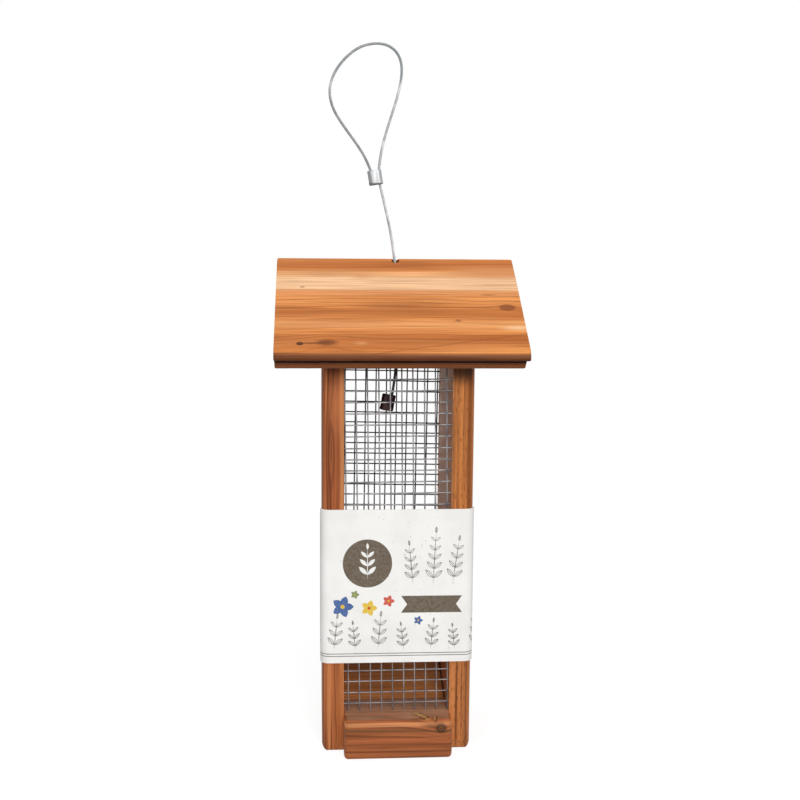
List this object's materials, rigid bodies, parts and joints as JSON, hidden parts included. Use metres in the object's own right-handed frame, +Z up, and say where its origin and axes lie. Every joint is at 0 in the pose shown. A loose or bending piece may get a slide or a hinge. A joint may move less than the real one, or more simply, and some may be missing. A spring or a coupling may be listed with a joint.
{
  "type": "peanut feeder",
  "caption": "Hanging wooden peanut feeder: two gabled side panels, wire mesh front and back, sloping inner floor, perching ledge and a pitched roof that slides up its steel cable loop.",
  "frame": {"origin": "centre of the feeder in plan, on the underside of the base and side panels", "axes": "+X to the right seen from the front, -Y is the front with the ledge, +Z up"},
  "size_m": [0.136, 0.1438, 0.4017],
  "materials": {
    "cedar": "oiled",
    "cedar_inside": "sawn",
    "mesh_wire": "galvanised",
    "cable_steel": "stranded wire rope",
    "ferrule_aluminium": "crimped",
    "screw_steel": "zinc plated",
    "sleeve_card": "printed matt card"
  },
  "bodies": {
    "frame": {"left_side_panel": "cedar", "right_side_panel": "cedar", "base_board": "cedar", "sloping_floor": "cedar_inside", "hanger_bar": "cedar_inside", "front_mesh": "mesh_wire", "back_mesh": "mesh_wire", "base_screws": "screw_steel", "bar_screws": "screw_steel", "floor_brads": "screw_steel"},
    "roof": {"roof_front_board": "cedar", "roof_back_board": "cedar", "roof_front_batten": "cedar_inside", "roof_back_batten": "cedar_inside", "batten_screws": "screw_steel"},
    "hanger": {"hanger_cable": "cable_steel", "hanger_loop": "cable_steel", "loop_ferrule": "ferrule_aluminium", "stop_ferrule": "ferrule_aluminium"},
    "sleeve": {"card_sleeve": "sleeve_card"}
  },
  "joints": [
    {"name": "roof_lift", "type": "slide", "parent": "frame", "child": "roof", "axis": [0, 0, 1], "range_m": [0, 0.038]},
    {"name": "hanger_swivel", "type": "hinge", "parent": "roof", "child": "hanger", "pos_m": [0, -0.0012, 0.2805], "axis": [0, 0, 1], "continuous": true},
    {"name": "sleeve_slide", "type": "slide", "parent": "frame", "child": "sleeve", "axis": [0, 0, 1], "range_m": [-0.03, 0.098]}
  ]
}
